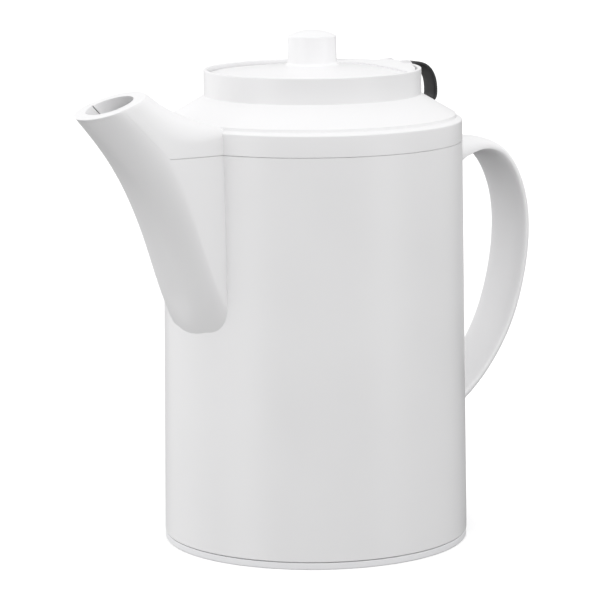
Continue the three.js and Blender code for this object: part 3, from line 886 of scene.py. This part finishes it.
def anchor():
    """The button that holds the strap down on the shoulder, and its clamping plate."""
    slope = math.atan2(NECK_LOW - SHOULDER_LOW, SHOULDER_RADIUS - NECK_RADIUS)
    button = turned("tether_anchor_button", [
        (0, -5), (2.0, -5, 0.3), (2.0, 1.2), (3.2, 1.2, 0.2), (3.2, 2.0, 0.5), (1.2, 2.2, 1), (0, 2.2),
    ], 64)
    low, high, half_length, half_width, shift = 1.0, 2.3, 1.9, 3.5, 1.8
    plate = prism("plate", fillet([
        (-half_length, low, 0.2), (half_length, low, 0.2),
        (half_length, high, 0.5), (-half_length, high, 0.5),
    ], closed=True), half_width)
    plate.data.transform(Matrix.Translation((shift * MM, 0, 0)))
    join(button, plate)
    button.data.transform(Matrix.Translation(BUTTON * MM) @ Matrix.Rotation(slope, 4, "Y"))
    return button


place(strap(), "pot", "strap", RUBBER, "tether_strap", 40)
place(pin(), "lid", "screw", STEEL, "tether_pin")
place(anchor(), "pot", "casing", WHITE, "tether_anchor")

# ---- studio ------------------------------------------------------------------

VIEW_AZIMUTH = -36
CAMERA_PLACE = Vector((-843.14, -1149.28, 351.93))
CAMERA_PITCH = 9.606
CAMERA_ROLL = -0.009                # radians
CAMERA_LENS = 187.13
FLOOR_HALF = 9.0                    # metres


def studio_floor():
    """A wide sheet of pale paper, lit a little from within so that it stays even under the pot."""
    half = FLOOR_HALF
    corners = [(-half, -half, 0), (half, -half, 0), (half, half, 0), (-half, half, 0)]
    mesh = bpy.data.meshes.new("floor")
    mesh.from_pydata(corners, [], [(0, 1, 2, 3)])
    floor = bpy.data.objects.new("floor", mesh)
    bpy.context.collection.objects.link(floor)
    paper = surface("floor_paper", (0.93, 0.93, 0.93), (0.95, 0.95, 0.95), (0.9, 1.0), 2, 300, (0.02, 0.05))
    glow = paper.node_tree.nodes["Principled BSDF"].inputs
    glow["Emission Color"].default_value = (1, 1, 1, 1)
    glow["Emission Strength"].default_value = 0.1
    mesh.materials.append(paper)
    floor.visible_diffuse = False
    floor.visible_glossy = False
    floor.visible_shadow = False


class Sky:
    """The studio's surroundings: a sum of soft round lights over a room that is dark below."""

    def __init__(self):
        world = bpy.data.worlds.new("studio")
        bpy.context.scene.world = world
        world.use_nodes = True
        self.nodes, self.links = world.node_tree.nodes, world.node_tree.links
        self.direction = self.nodes.new("ShaderNodeTexCoord").outputs["Generated"]
        background = self.nodes["Background"]
        background.inputs["Color"].default_value = (1, 1, 1, 1)
        self.total = background.inputs["Strength"]
        self.sum = None

    def soft_step(self, value, start, end, strength):
        """Rises smoothly from nothing to the strength as the value goes from start to end."""
        node = self.nodes.new("ShaderNodeMapRange")
        node.interpolation_type = "SMOOTHSTEP"
        for key, number in (("From Min", start), ("From Max", end), ("To Min", 0), ("To Max", strength)):
            node.inputs[key].default_value = number
        self.links.new(value, node.inputs["Value"])
        if self.sum:
            add = self.nodes.new("ShaderNodeMath")
            self.links.new(self.sum, add.inputs[0])
            self.links.new(node.outputs["Result"], add.inputs[1])
            self.sum = add.outputs["Value"]
        else:
            self.sum = node.outputs["Result"]
        self.links.new(self.sum, self.total)

    def toward(self, azimuth, elevation):
        """How far a direction points the given way: the cosine of the angle between them."""
        turn, lift = math.radians(azimuth), math.radians(elevation)
        level = math.cos(lift)
        node = self.nodes.new("ShaderNodeVectorMath")
        node.operation = "DOT_PRODUCT"
        node.inputs[1].default_value = (math.sin(turn) * level, -math.cos(turn) * level, math.sin(lift))
        self.links.new(self.direction, node.inputs[0])
        return node.outputs["Value"]

    def glow(self, azimuth, elevation, radius, strength):
        """A round light that fades out at an angle from its middle. Its azimuth counts from the
        camera's."""
        edge = math.cos(math.radians(radius))
        self.soft_step(self.toward(VIEW_AZIMUTH + azimuth, elevation), edge, 1, strength)

    def ceiling(self, strength):
        """The even light of the room, from just under the level upwards."""
        self.soft_step(self.toward(0, 90), -0.22, 0.21, strength)


def sky():
    studio = Sky()
    studio.ceiling(0.87)
    studio.glow(22, 40, 45, 1.1)        # key light, high on the right
    studio.glow(-54, -9, 22, 1.8)       # low lights that give the body its two soft highlights
    studio.glow(56, -9, 12, 1.6)
    studio.glow(62, 5, 35, 0.75)
    studio.glow(-120, 0, 40, 0.4)       # fill from behind, on both sides
    studio.glow(-94, 11, 72, 0.6)
    studio.glow(-155, -5, 30, 0.4)
    studio.glow(116, 10, 36, 0.5)
    studio.glow(0, -89, 50, 1.05)       # light thrown back from the table


def camera():
    data = bpy.data.cameras.new("camera")
    data.sensor_width = 36
    data.lens = CAMERA_LENS
    view = bpy.data.objects.new("camera", data)
    bpy.context.collection.objects.link(view)
    view.matrix_world = (
        Matrix.Translation(CAMERA_PLACE * MM)
        @ Matrix.Rotation(math.radians(VIEW_AZIMUTH), 4, "Z")
        @ Matrix.Rotation(math.radians(90 - CAMERA_PITCH), 4, "X")
        @ Matrix.Rotation(CAMERA_ROLL, 4, "Z")
    )
    bpy.context.scene.camera = view


studio_floor()
sky()
camera()
bpy.context.scene.view_settings.view_transform = "Standard"
